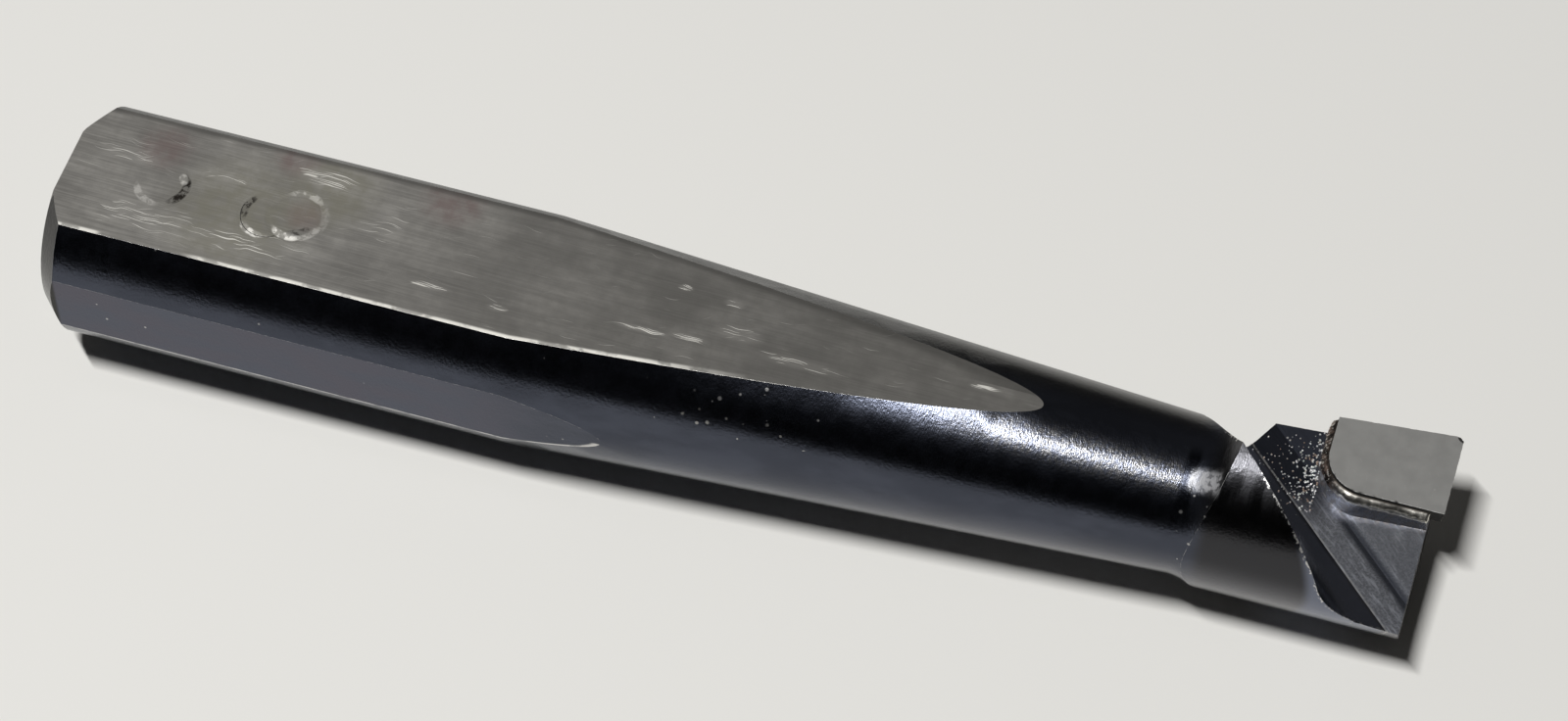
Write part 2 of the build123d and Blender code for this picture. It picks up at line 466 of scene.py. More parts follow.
# Roughness of each part of the bar
ROUND_ROUGH, FAR_ROUGH, DRIP_ROUGH, NECK_ROUGH, MILLED_ROUGH = 0.22, 0.34, 0.34, 0.74, 0.50
GROUND_ROUGH, MARK_ROUGH, EDGE_ROUGH, BRIGHT_ROUGH, FLUX_ROUGH = 0.64, 0.62, 0.66, 0.36, 0.50


def new_material(name):
    """An empty metal, its shader and its place in millimetres."""
    material = bpy.data.materials.new(name)
    material.use_nodes = True
    tree = material.node_tree
    shader = tree.nodes["Principled BSDF"]
    shader.inputs["Metallic"].default_value = 1.0
    place = vector("MULTIPLY", tree.nodes.new("ShaderNodeTexCoord").outputs["Object"],
                   (1 / MM, 1 / MM, 1 / MM))
    return material, shader, place


def painted(place, name):
    """A mask stored on the mesh."""
    node = place.id_data.nodes.new("ShaderNodeAttribute")
    node.attribute_name = name
    return node.outputs["Fac"]


def feed(shader, name, value):
    """Links a value to one of the shader's inputs."""
    shader.id_data.links.new(value, shader.inputs[name])


def raise_surface(shader, height, strength, depth):
    """Bumps the shader's normal by height, at most depth millimetres deep."""
    bump = add("ShaderNodeBump", {"Height": height, "Strength": strength, "Distance": depth * MM})
    feed(shader, "Normal", bump.outputs["Normal"])


def distance_from_tip(place):
    """Millimetres outside the inner and rear sides of the tip, seen from above."""
    off = vector("MINIMUM", vector("SUBTRACT", place, (*TIP_CORNER, 0.0)))
    return calc("SUBTRACT", length(from_above(off)), TIP_CORNER_RADIUS)


def depth_in_round(place, x):
    """Millimetres inside the shank's and the taper's round."""
    along = calc("MAXIMUM", calc("SUBTRACT", x, SHANK_END), 0.0)
    radius = calc("SUBTRACT", SHANK_RADIUS, calc("MULTIPLY", TAPER, along))
    across = vector("MULTIPLY", place, (0.0, 1.0, 1.0))
    return calc("SUBTRACT", radius, length(across))


def bar_places(place):
    """What the parts of the bar's finish share: places, distances, clouds and painted masks."""
    axes = part(place)
    x, y, z = axes["X"], axes["Y"], axes["Z"]
    off_gullet = {0: vector("SUBTRACT", place, GULLET), 1: ACROSS_GULLET}
    off_wall = add("ShaderNodeVectorMath", off_gullet, operation="DOT_PRODUCT")
    return SimpleNamespace(
        place=place, x=x, y=y, z=z,
        turn=calc("ARCTAN2", calc("MULTIPLY", y, -1.0), z),
        inside=depth_in_round(place, x),
        off_wall=off_wall.outputs["Value"],
        on_head=span(x, *HEAD_START),
        front=calc("LESS_THAN", y, -1.0),
        # where the flat's front edge is bright: partly wear, partly a painted highlight
        bright_edge=either(span(x, *EDGE_BRIGHT), band(x, *REAR_BRIGHT)),
        cloud=use("mottle", place, Size=9.0, Detail=4.0),
        fine_cloud=use("mottle", place, Size=1.4, Detail=4.0),
        nibble=use("mottle", place, Size=0.55, Detail=4.0),
        wide_cloud=use("mottle", vector("MULTIPLY", place, (0.4, 1.0, 1.0)), Size=4.0, Detail=5.0),
        **{name: painted(place, name) for name in (*BAR_PARTS, "edge", "rim_gap")})


def ground_flat(bar, at):
    """Colour of the bare ground flat, and a mask of its scratches."""
    tone = partial(times, bar.steel_colour)
    wipe = use("cutter_lines", at.place, Heading=0.03, Length=9.0, Pitch=1.3)
    brushed = use("cutter_lines", at.place, Heading=0.02, Length=6.0, Pitch=0.16)
    strong = span(at.x, *BRUSHED_END, 1.0, 0.40)
    dull = calc("SUBTRACT", span(at.x, *FLAT_DULLS, 0.0, 0.52), span(at.x, *FLAT_CLEARS, 0.0, 0.10))
    steel = coats(
        tone(0.90),
        (at.cloud, tone(1.42)),
        (both(at.fine_cloud, 0.32), tone(0.62)),
        (span(wipe, 0.35, 0.65, 0.0, 0.34), tone(0.60)),
        (both(span(brushed, 0.42, 0.72, 0.0, 0.24), strong), tone(1.6)),
        (both(span(brushed, 0.28, 0.50, 0.16, 0.0), strong), tone(0.5)),
        (dull, tone(0.34)))
    for x, y, radius, colour, share in STAINS:
        stain = use("patch", at.place, Centre=(x, y, 0.0), Reach=(radius, radius, 1.0))
        steel = blend(both(stain, span(at.fine_cloud, 0.0, 1.0, share / 2, share)), steel, colour)

    # scratches, thick in some patches and thin elsewhere
    gathered = either(*(
        both(use("patch", at.place, Centre=(x, y, 0.0), Reach=(half_x, half_y, 1.0)), share)
        for x, y, half_x, half_y, share in SCRATCHED))
    lengthwise = use("fine_scratches", at.place, Heading=0.04, Length=4.4, Width=0.11,
                     Share=calc("ADD", both(gathered, 0.8), 0.06))
    across = use("fine_scratches", at.place, Heading=-0.35, Length=2.4, Width=0.09,
                 Share=calc("ADD", both(gathered, 0.35), 0.01))
    scratched = both(either(lengthwise, both(across, 0.6)), span(gathered, 0.0, 0.5, 0.30, 0.75))
    steel = coats(steel, (both(gathered, 0.45), tone(1.5)), (scratched, FRESH_SCRATCH_AND_HIGHLIGHT))

    # crescents bitten by the locking screws, torn along their length, their walls' highlight and
    # shade painted in
    torn = use("mottle", at.place, Size=0.75, Detail=5.0)
    for x, y, heading, sweep, radius, shine in CRESCENTS:
        bite = use("crescent", at.place, Centre=(x, y, 0.0), Heading=math.radians(heading),
                   Sweep=math.radians(sweep), Radius=radius)
        bite = both(bite, span(torn, 0.20, 0.62, 0.22 * abs(shine), abs(shine)))
        steel = blend(bite, steel, BITE_SHADE if shine < 0 else BITE_HIGHLIGHT)
        if shine > 0:
            scratched = either(scratched, bite)

    # a bright line along the front edge, partly wear and partly a painted highlight, and a dark
    # line of painted shade along the back edge
    flicker = use("mottle", at.place, Size=3.0, Detail=4.0)
    worn_and_highlit_front_line = both(fade(at.inside, 0.16, 0.36), at.front, span(flicker, 0.15, 0.6, 0.35, 1.0),
                      at.bright_edge, fade(at.x, *EDGE_LINE_END))
    shaded_back_line = both(fade(at.inside, 0.15, 0.55), calc("GREATER_THAN", at.y, 1.0), 0.6)
    steel = coats(steel, (shaded_back_line, tone(0.3)), (worn_and_highlit_front_line, FRESH_SCRATCH_AND_HIGHLIGHT))
    return steel, either(scratched, worn_and_highlit_front_line)


def black_oxide(bar, at):
    """Colour of the oxide, with painted highlights, a painted floor reflection and painted shade,
    and masks of the drip streaks in the head's painted highlight and of the painted highlight at
    the neck.
    """
    tone = partial(times, bar.oxide_colour)
    shaded_far_side = both(span(at.y, *FAR_SIDE), span(at.x, *REAR_END),
                    fade(at.x, NECK_END, NECK_END + 3.0))
    temper = blend(at.wide_cloud, tone(1.45), TEMPER)
    rubbed_and_highlit = both(band(at.turn, *RUBBED_HIGHLIGHT_TURN), span(at.x, *RUBBED_HIGHLIGHT_START), fade(at.x, *RUBBED_HIGHLIGHT_END))
    sand = span(use("grain", at.place, Size=0.42), 0.42, 0.58, 0.15, 1.0)
    drips = use("cutter_lines", vector("MULTIPLY", at.place, (1.0, 0.10, 0.10)),
                Heading=0.0, Length=0.9, Pitch=0.9)
    dripped_highlight = both(at.on_head, span(drips, 0.44, 0.60), band(at.turn, *DRIP_HIGHLIGHT_TURN), 0.8)
    painted_floor_reflection = both(span(at.turn, *LOW_SIDE_TURN), fade(at.turn, *LOW_SIDE_TURN_END),
                    span(at.x, *LOW_SIDE_START), calc("LESS_THAN", at.x, HEAD_FRONT - 0.1))
    # painted shade in the foot of the neck's radius, and a painted highlight where the radius runs
    # up to the head
    neck_foot_shade = both(band(at.turn, *NECK_FOOT_SHADE_TURN), band(at.x, *NECK_FOOT_SHADE_PLACE))
    neck_highlight = both(band(at.turn, *NECK_HIGHLIGHT_TURN), span(at.x, *NECK_HIGHLIGHT_START),
                     fade(at.x, *NECK_HIGHLIGHT_END), span(at.nibble, 0.1, 0.6, 0.5, 1.0))
    oxide = coats(
        bar.oxide_colour,
        (both(at.cloud, 0.3), tone(1.3)),
        (both(span(at.wide_cloud, 0.3, 0.9), 0.6), tone(1.35)),
        # painted shade: darker oxide on the far (+Y) side
        (shaded_far_side, SHADED_BACK_OXIDE),
        (both(at.side_flat, fade(at.x, *TEMPER_END)), temper),
        # lighter oxide along the lamp's highlight stripe: partly wear, partly a painted highlight
        (both(rubbed_and_highlit, sand), RUBBED_AND_HIGHLIT_OXIDE),
        (at.on_head, HEAD_OXIDE),
        # drip streaks in the head's highlight band, painted lighter as highlight
        (dripped_highlight, times(HEAD_OXIDE, 1.3)),
        # lighter oxide low on the taper, neck and head: a painted reflection of the floor
        (both(painted_floor_reflection, 0.7), times(HEAD_OXIDE, 3.5)),
        # painted shade on the rear chamfer
        (fade(at.x, *CHAMFER_END), times(SHADED_BACK_OXIDE, 1.2)),
        # painted shade in the foot of the neck's radius, then a painted highlight up to the head
        (neck_foot_shade, tone(0.22)),
        (neck_highlight, NECK_HIGHLIGHT))
    return oxide, dripped_highlight, neck_highlight


def chip_floor(bar, at, streaks):
    """Colour of the milled floor: granular, black behind the tooth, and darker along its valley."""
    tone = partial(times, bar.milled_colour)
    speckle = use("grain", at.place, Size=0.24)
    black_back = both(span(at.y, *BLACK_BACK_SIDE), fade(at.x, *BLACK_BACK_END))
    valley = both(band(at.off_wall, VALLEY, 0.25, 1.2), fade(at.y, *VALLEY_END), 0.9)
    return coats(
        tone(0.85),
        (span(speckle, 0.34, 0.68), tone(1.45)),
        (span(streaks, 0.50, 0.75, 0.0, 0.8), tone(2.4)),
        (both(at.fine_cloud, 0.35), tone(0.5)),
        (span(at.off_wall, VALLEY, VALLEY + 1.5, 0.0, 0.72), tone(0.25)),
        (either(black_back, valley), times(bar.oxide_colour, 0.55)))


def worn_places(at):
    """Masks of the bright steel at edges, chips and specks, with painted highlights along the
    shoulder's edge and a painted reflection along the side flat's lower edge, and of the shoulder's
    edge alone.
    """
    upper_rim = span(at.z, *UPPER_RIM, 0.35, 1.0)
    worn_edge = both(at.edge, span(at.nibble, 0.25, 0.75, 0.1, 0.9),
                     either(upper_rim, calc("SUBTRACT", 1.0, at.on_head)))
    # the shoulder's edge, partly wear and partly a painted highlight where it catches the lamp
    worn_shoulder_highlight = both(at.edge, band(at.x, *SHOULDER_PLACE), band(at.turn, *SHOULDER_TURN))
    crumb = use("mottle", at.place, Size=0.32, Detail=4.0)
    crumbled = calc("SUBTRACT", span(crumb, 0.35, 0.95, 0.0, 0.36), at.rim_gap)
    chips = both(span(crumbled, 0.0, 0.06), at.on_head, upper_rim)
    ridge = both(band(at.off_wall, RIDGE, 0.04, 0.16), fade(at.z, *RIDGE_FOOT),
                 at.on_head, span(at.nibble, 0.1, 0.6, 0.08, 0.45))
    speck_zone = both(either(band(at.x, *SPECKS_ON_TAPER), band(at.x, *SPECKS_AT_NECK)),
                      band(at.turn, *SPECK_TURN), 0.55)
    specks = use("specks", at.place, Spacing=0.9, Radius=0.34, Share=calc("ADD", speck_zone, 0.012))
    glitter = both(use("specks", at.place, Spacing=0.40, Radius=0.40, Share=0.20),
                   at.on_head, fade(at.x, *SPATTER_END), span(at.y, *SPATTER_SIDE))
    # a bright line along the side flat's lower edge: partly wear, partly a painted reflection of
    # the floor
    side_line_wear_and_reflection = both(at.side_flat, fade(at.z, *SIDE_LINE_HEIGHT), fade(at.inside, 0.02, 0.06),
                     span(at.fine_cloud, 0.1, 0.6, 0.45, 0.95))
    bright = either(worn_edge, worn_shoulder_highlight, chips, ridge, side_line_wear_and_reflection, both(glitter, 0.9),
                    both(specks, span(at.turn, *SPECK_TURN_START), 0.7))
    return bright, worn_shoulder_highlight


def make_bar_finish(bar):
    """Black oxide with a bare ground flat, worn edges, milled chip floor and braze stains, and with
    highlights, a floor reflection and shade painted into its colour.
    """
    material, shader, place = new_material("blackened_steel")
    at = bar_places(place)
    streaks = use("cutter_lines", place, Heading=math.radians(45.0), Length=2.2, Pitch=0.34)
    oxide, dripped_highlight, neck_highlight = black_oxide(bar, at)
    bright, worn_shoulder_highlight = worn_places(at)
    steel, scratched = ground_flat(bar, at)
    gullet = both(at.on_head, span(at.off_wall, -1.5, -0.5), fade(at.off_wall, 5.0, RIDGE), 0.8)
    # the bevel of the flat's front edge, bright: partly wear, partly a painted highlight
    worn_and_highlit_top_edge = both(at.edge, span(at.z, *EDGE_HEIGHT), at.front, at.bright_edge,
                    span(at.x, *EDGE_BEVEL_END, 1.0, 0.15))
    # brown heat tint and flux round the seat
    tint = both(span(distance_from_tip(place), *FLUX_REACH, 0.7, 0.0), at.on_head,
                span(at.z, *FLUX_HEIGHT), span(at.fine_cloud, 0.0, 0.8, 0.4, 1.0))
    flux = both(either(both(tint, 0.7), both(at.seat, 0.4)), span(at.nibble, 0.2, 0.8))
    colour = coats(
        oxide,
        (at.milled, chip_floor(bar, at, streaks)),
        (gullet, times(bar.oxide_colour, 3.0)),
        # bright steel of wear, with the painted highlight and reflection along the shoulder's and
        # the side flat's edges
        (bright, bar.worn_and_highlight_colour),
        (at.ground, steel),
        (worn_and_highlit_top_edge, FRESH_SCRATCH_AND_HIGHLIGHT),
        (at.seat, times(bar.milled_colour, 1.6)),
        (flux, blend(at.nibble, FLUX_DARK, FLUX_LIGHT)))
    feed(shader, "Base Color", colour)

    rough = levels(
        ROUND_ROUGH,
        (span(at.y, *FAR_SIDE_ROUGH), FAR_ROUGH), (dripped_highlight, DRIP_ROUGH), (neck_highlight, NECK_ROUGH),
        (at.milled, MILLED_ROUGH), (at.ground, GROUND_ROUGH), (at.screw_mark, MARK_ROUGH),
        (either(worn_and_highlit_top_edge, worn_shoulder_highlight), EDGE_ROUGH), (bright, BRIGHT_ROUGH), (flux, FLUX_ROUGH))
    feed(shader, "Roughness", calc("ADD", rough, span(at.fine_cloud, 0.0, 1.0, -0.012, 0.016)))

    # turned rings, whose tilt draws the highlight out along the bar
    rings = use("grain", vector("MULTIPLY", place, (5.0, 1.0, 1.0)), Size=0.60)
    sand = use("grain", place, Size=0.34)
    grain = use("grain", place, Size=0.16)
    lines = use("cutter_lines", place, Heading=0.0, Length=7.0, Pitch=0.16)
    on_round = calc("ADD", both(grain, 0.8), calc("ADD", both(sand, 2.4), both(rings, 3.0)))
    height = levels(on_round, (at.milled, calc("ADD", grain, both(streaks, 2.0))),
                    (at.ground, calc("SUBTRACT", lines, both(scratched, 0.6))))
    raise_surface(shader, height, strength=0.5, depth=0.014)
    return material


def make_carbide_finish(tip):
    """Ground sintered carbide: matt grey, faintly clouded."""
    material, shader, place = new_material("ground_carbide")
    tone = partial(times, tip.carbide_colour)
    cloud = use("mottle", place, Size=2.2, Detail=4.0)
    nibble = use("mottle", place, Size=0.5, Detail=3.0)
    marks = use("fine_scratches", place, Heading=1.2, Length=1.2, Width=0.06, Share=0.10)
    dust = use("specks", place, Spacing=1.1, Radius=0.22, Share=0.12)
    face = coats(
        tone(0.95),
        (cloud, tone(1.04)),
        (both(marks, 0.4), tone(1.5)),
        (both(dust, 0.35), tone(1.5)))
    colour = coats(
        tone(0.16),
        (span(part(place)["Z"], *TIP_TOP), face),
        (both(painted(place, "edge"), span(nibble, 0.4, 0.8)), HONED_EDGE))
    feed(shader, "Base Color", colour)
    feed(shader, "Roughness", span(cloud, 0.0, 1.0, 0.635, 0.665))
    lines = use("cutter_lines", place, Heading=1.2, Length=3.0, Pitch=0.06)
    height = calc("ADD", lines, use("grain", place, Size=0.08))
    raise_surface(shader, height, strength=0.25, depth=0.006)
    return material


def make_braze_finish(braze):
    """Bright silver braze that tarnishes towards its foot, with painted shade in a groove under the
    tip, and turns coppery behind the tip.
    """
    material, shader, place = new_material("silver_braze")
    axes = part(place)
    cloud = use("mottle", place, Size=0.7, Detail=4.0)
    fine_cloud = use("mottle", place, Size=0.3, Detail=3.0)
    behind = fade(axes["X"], *COPPERY)
    # darker at the foot and at the end of the bead, and in a groove of painted shade under the tip
    dull = either(fade(axes["Z"], *BEAD_FOOT), span(axes["Z"], *BEAD_GROOVE),
                  span(axes["X"], *BEAD_END))
    copper = coats(COPPER, (span(cloud, 0.2, 0.7), BURNT_COPPER),
                   (span(fine_cloud, 0.65, 0.85), COPPER_GLINT))
    colour = coats(
        braze.braze_colour,
        (both(cloud, 0.85), times(braze.braze_colour, 0.28)),
        (behind, copper),
        (both(dull, 0.92), braze.tarnish_and_shade_colour))
    feed(shader, "Base Color", colour)
    feed(shader, "Roughness", span(either(dull, both(behind, 0.6)), 0.0, 1.0, 0.30, 0.50))
    raise_surface(shader, use("grain", place, Size=0.12), strength=0.5, depth=0.02)
    return material


def make_droplet_finish():
    """Bright beads of braze, some of them tarnished."""
    material, shader, place = new_material("braze_droplets")
    cloud = use("mottle", place, Size=0.8, Detail=2.0)
    feed(shader, "Base Color", blend(span(cloud, 0.55, 0.9), DROPLET, TARNISHED_DROPLET))
    feed(shader, "Roughness", span(cloud, 0.0, 1.0, 0.25, 0.45))
    return material


# ------------------------------------------------------------------------------ mesh helpers

HARD_ANGLE, FLAT_ANGLE = math.radians(12), math.radians(0.3)    # sharp edges, and none at all
MERGE = 1e-7                    # metres within which two vertices are one
FAR_FROM_RIM = 5.0              # millimetres, beyond which the distance no longer matters
TRUE_NORMAL = "true_normal"     # each corner's normal on the surface as it was drawn
UP = Vector((0.0, 0.0, 1.0))
MARK_SOFTENING = 0.94           # how far the screw marks' normals turn towards the flat's


def edge_key(edge):
    """An edge's two ends, rounded to a hundredth of a millimetre, in either order."""
    return frozenset(tuple(round(c * 1e5) for c in v.co) for v in edge.verts)


def cad_copy(node_name):
    """A merged copy of a CAD node as a bmesh, with the edges between its surfaces marked sharp."""
    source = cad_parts[node_name].data
    bm = bmesh.new()
    bm.from_mesh(source)
    true_normal = bm.loops.layers.float_vector.new(TRUE_NORMAL)
    for face, polygon in zip(bm.faces, source.polygons):
        for loop, index in zip(face.loops, polygon.loop_indices):
            loop[true_normal] = source.corner_normals[index].vector
    seams = {edge_key(e) for e in bm.edges if e.is_boundary}
    bmesh.ops.remove_doubles(bm, verts=bm.verts, dist=MERGE)
    for e in bm.edges:
        e.smooth = not (edge_key(e) in seams and e.calc_face_angle(0.0) > HARD_ANGLE)
    bmesh.ops.dissolve_limit(bm, angle_limit=FLAT_ANGLE, verts=bm.verts, edges=bm.edges,
                             delimit={"SHARP"})
    return bm


def paint(bm, name, test):
    """Stores 1 on each face that passes the test, and 0 on the rest."""
    layer = bm.faces.layers.float.get(name) or bm.faces.layers.float.new(name)
    for face in bm.faces:
        face[layer] = 1.0 if test(face) else 0.0
    return layer


def break_edges(bm, width, spare=lambda place: False, segments=2):
    """Bevels the sharp edges, but for those whose middle is spared, and marks the new faces."""
    layer = paint(bm, "edge", lambda face: False)
    hard = [e for e in bm.edges if not e.smooth and len(e.link_faces) == 2
            and not spare((e.verts[0].co + e.verts[1].co) / 2 / MM)]
    made = bmesh.ops.bevel(bm, geom=hard, offset=width, offset_type="OFFSET", segments=segments,
                           profile=0.5, affect="EDGES", clamp_overlap=True, material=-1)
    for face in made["faces"]:
        face[layer] = 1.0
    for e in bm.edges:
        e.smooth = True


def slice_along(bm, axis, low, high, pitch, beyond=-math.inf):
    """Cuts the faces whose middles lie beyond that x, by planes across an axis, a pitch apart."""
    normal = Vector((0.0, 0.0, 0.0))
    normal[axis] = 1.0
    for k in range(1, int((high - low) / pitch)):
        faces = [f for f in bm.faces if f.calc_center_bounds().x > beyond]
        edges = {e for f in faces for e in f.edges}
        verts = {v for e in edges for v in e.verts}
        bmesh.ops.bisect_plane(bm, geom=[*verts, *edges, *faces], dist=MERGE,
                               plane_co=normal * (low + k * pitch), plane_no=normal)


def broken_verts(bm):
    """The vertices of the broken edges."""
    edge = bm.faces.layers.float["edge"]
    return {v for f in bm.faces if f[edge] > 0.5 for v in f.verts}


def chip_edges(bm, depth_at):
    """Sinks the broken edges into the piece, by the depth at each place."""
    bm.normal_update()
    for v in broken_verts(bm):
        v.co -= v.normal * depth_at(v.co)


def measure_rim(bm):
    """Stores how far each vertex lies from the gullet's upper rim, in millimetres."""
    layer = bm.verts.layers.float.new("rim_gap")
    rim = []
    for v in broken_verts(bm):
        place = v.co / MM
        off_wall = (place - Vector(GULLET)).dot(ACROSS_GULLET)
        if -1.5 < off_wall < RIDGE - 0.1 and NECK_END < place.x < HEAD_FRONT - 0.4:
            rim.append(v.co.copy())
    near = KDTree(len(rim))
    for index, place in enumerate(rim):
        near.insert(place, index)
    near.balance()
    for v in bm.verts:
        v[layer] = min(near.find(v.co)[2] / MM, FAR_FROM_RIM)


def corner_normals(bm):
    """Each corner's normal: the drawn surface's own, and on a broken edge its neighbours'."""
    true_normal = bm.loops.layers.float_vector[TRUE_NORMAL]
    edge, mark = bm.faces.layers.float["edge"], bm.faces.layers.float.get("screw_mark")
    normals = []
    for face in bm.faces:
        for loop in face.loops:
            if mark and face[mark] > 0.5:
                normals.append(loop[true_normal].normalized().lerp(UP, MARK_SOFTENING).normalized())
                continue
            if face[edge] < 0.5:
                normals.append(loop[true_normal].normalized())
                continue
            near = [l[true_normal] for l in loop.vert.link_loops if l.face[edge] < 0.5]
            normals.append(sum(near, Vector()).normalized() if near else loop.vert.normal.copy())
    return normals


def finish_piece(name, bm, slot_name, material, *nodes):
    """Turns the bmesh into a smooth-shaded piece on the root, which stands for these nodes."""
    normals = corner_normals(bm) if "edge" in bm.faces.layers.float else None
    if TRUE_NORMAL in bm.loops.layers.float_vector:
        bm.loops.layers.float_vector.remove(bm.loops.layers.float_vector[TRUE_NORMAL])
    mesh = bpy.data.meshes.new(name)
    bm.to_mesh(mesh)
    bm.free()
    mesh.shade_smooth()
    if normals:
        mesh.normals_split_custom_set(normals)
    mesh.materials.append(material)
    piece = bpy.data.objects.new(name, mesh)
    bpy.context.scene.collection.objects.link(piece)
    if nodes:
        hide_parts(*nodes)
    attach(piece, "root")


# ------------------------------------------------------------------------------ parts of the bar

LEVEL, UPRIGHT = 0.999, 0.9999  # a normal's share along its axis, on a level and an upright face
ON_PLANE = 0.02                 # millimetres within which a face lies on a plane
MARKS_END, MARKS_REACH, MARK_DEPTH = 40.0, 5.0, 0.4     # x, y and z that hold all screw marks
SEAT_REAR, SEAT_INNER, SEAT_FOOT = 137.5, 4.4, -4.3


def middle_of(face):
    """A face's middle, in millimetres."""
    return face.calc_center_median() / MM


def is_mark(face):
    """Whether a face belongs to a screw's bite in the wide flat."""
    middle = middle_of(face)
    return (FLAT_HEIGHT - MARK_DEPTH < middle.z < FLAT_HEIGHT and abs(middle.y) < MARKS_REACH
            and middle.x < MARKS_END and face.normal.z < LEVEL)


def is_ground(face):
    """Whether a face belongs to the wide flat or to a bite in it."""
    on_flat = abs(middle_of(face).z - FLAT_HEIGHT) < ON_PLANE and face.normal.z > LEVEL
    return on_flat or is_mark(face)


def is_side_flat(face):
    """Whether a face belongs to the shallow flat on the side."""
    return face.normal.y < -UPRIGHT and abs(middle_of(face).y - SIDE_FLAT) < ON_PLANE


def is_milled(face):
    """Whether a face belongs to the chip floor."""
    middle = middle_of(face)
    lean = math.asin(max(-1.0, min(1.0, face.normal.dot(ACROSS_GULLET))))
    return (middle.x > NECK_END and middle.z < CHIP_FLOOR_TOP + 0.8 and face.normal.z > 0.99
            and any(abs(lean - slope) < 0.002 for slope in FLOOR_SLOPES))


def is_seat(face):
    """Whether a face belongs to the flared wall of the seat."""
    middle = middle_of(face)
    return (SEAT_REAR < middle.x < HEAD_FRONT - 0.05 and middle.y > SEAT_INNER
            and SEAT_FOOT < middle.z < SEAT_TOP + 0.05 and -0.2 < face.normal.z < 0.80
            and face.normal.y < 0.2)


BAR_PARTS = {
    "ground": is_ground, "screw_mark": is_mark, "side_flat": is_side_flat, "milled": is_milled,
    "seat": is_seat,
}


# ------------------------------------------------------------------------------ pieces

# Sizes of the wear and of the braze, in millimetres
CHIP_SIZES, SHANK_CHIPS = (0.9, 0.35), 0.25     # lengths of the chips, and their share off the head
TIP_PITCH, NOSE_PITCH, NOSE_ZONE = 0.4, 0.12, 1.2
NOSE_CHIP, NOSE_CHIP_FOOT, NOSE_CHIP_GRAIN = 0.8, -0.5, 0.2
NICK_SIZE, NICK_DEPTH = 0.5, 0.12
BEAD_PITCH, BEAD_STEP, BEAD_CUTS_TOP = 0.25, 0.22, -0.27
BEAD_MIDDLE, BEAD_REACH = -1.12, 0.70           # height and half height of the bead's roll
LUMPS = ((1.7, 0.45), (0.45, 0.22))             # the bead's lumps: length and share
SPATTER_SEED = 11
SPATTER_GAP, SPATTER_RATE = 0.4, 0.60           # start behind the tip, and how fast it thins out
SPATTER_SPREAD = (3.0, 14.3, 9.5)               # least, greatest and likeliest y
SPATTER_RADII = (0.05, 0.16)
SPATTER_TOP = -1.8


class BORINGBAR_OT_steel_bar(bpy.types.Operator):
    """Makes the bar with broken edges, and gives it its blackened finish"""
    bl_idname = "boringbar.steel_bar"
    bl_label = "Steel bar"

    def execute(self, context):
        bar = settings_of(context)[0]
        bm = cad_copy("bar")
        for name, test in BAR_PARTS.items():
            paint(bm, name, test)
        break_edges(bm, bar.edge_break,
                    spare=lambda place: place.x < MARKS_END and abs(place.y) < MARKS_REACH)
        slice_along(bm, 0, CAD_LOW.x, CAD_HIGH.x, bar.slice_pitch)
        for axis in (0, 1):
            slice_along(bm, axis, CAD_LOW[axis], CAD_HIGH[axis], bar.slice_pitch / 3, NECK_END * MM)
        measure_rim(bm)

        def chip_at(place):
            long, short = (noise.noise(place / (size * MM)) for size in CHIP_SIZES)
            share = 1.0 if place.x > NECK_END * MM else SHANK_CHIPS
            return max(0.0, long + short / 2) * bar.chip_depth * share

        chip_edges(bm, chip_at)
        finish_piece("boring_bar", bm, "bar_steel", make_bar_finish(bar), "bar")
        return {"FINISHED"}


class BORINGBAR_OT_carbide_tip(bpy.types.Operator):
    """Makes the ground carbide tip with honed edges and a small nick at its nose"""
    bl_idname = "boringbar.carbide_tip"
    bl_label = "Carbide tip"

    def execute(self, context):
        tip = settings_of(context)[1]
        bm = cad_copy("carbide_tip")
        break_edges(bm, tip.edge_break)
        for axis in (0, 1):
            slice_along(bm, axis, CAD_LOW[axis], CAD_HIGH[axis], TIP_PITCH * MM)
        nose = Vector(NOSE) * MM
        for axis in (0, 1):
            slice_along(bm, axis, nose[axis] - NOSE_ZONE * MM, nose[axis], NOSE_PITCH * MM,
                        nose.x - (NOSE_ZONE + 0.1) * MM)
        # a chip out of the nose
        for v in bm.verts:
            gap = (v.co - nose).length / MM
            if gap < NOSE_CHIP and v.co.z > NOSE_CHIP_FOOT * MM:
                grain = noise.noise(v.co / (NOSE_CHIP_GRAIN * MM))
                v.co.z -= (NOSE_CHIP - gap) * (0.55 + 0.5 * grain) * MM
        chip_edges(bm, lambda place: max(
            0.0, noise.noise(place / (NICK_SIZE * MM)) - 0.15) * NICK_DEPTH * MM)
        finish_piece("ground_tip", bm, "carbide", make_carbide_finish(tip), "carbide_tip")
        return {"FINISHED"}


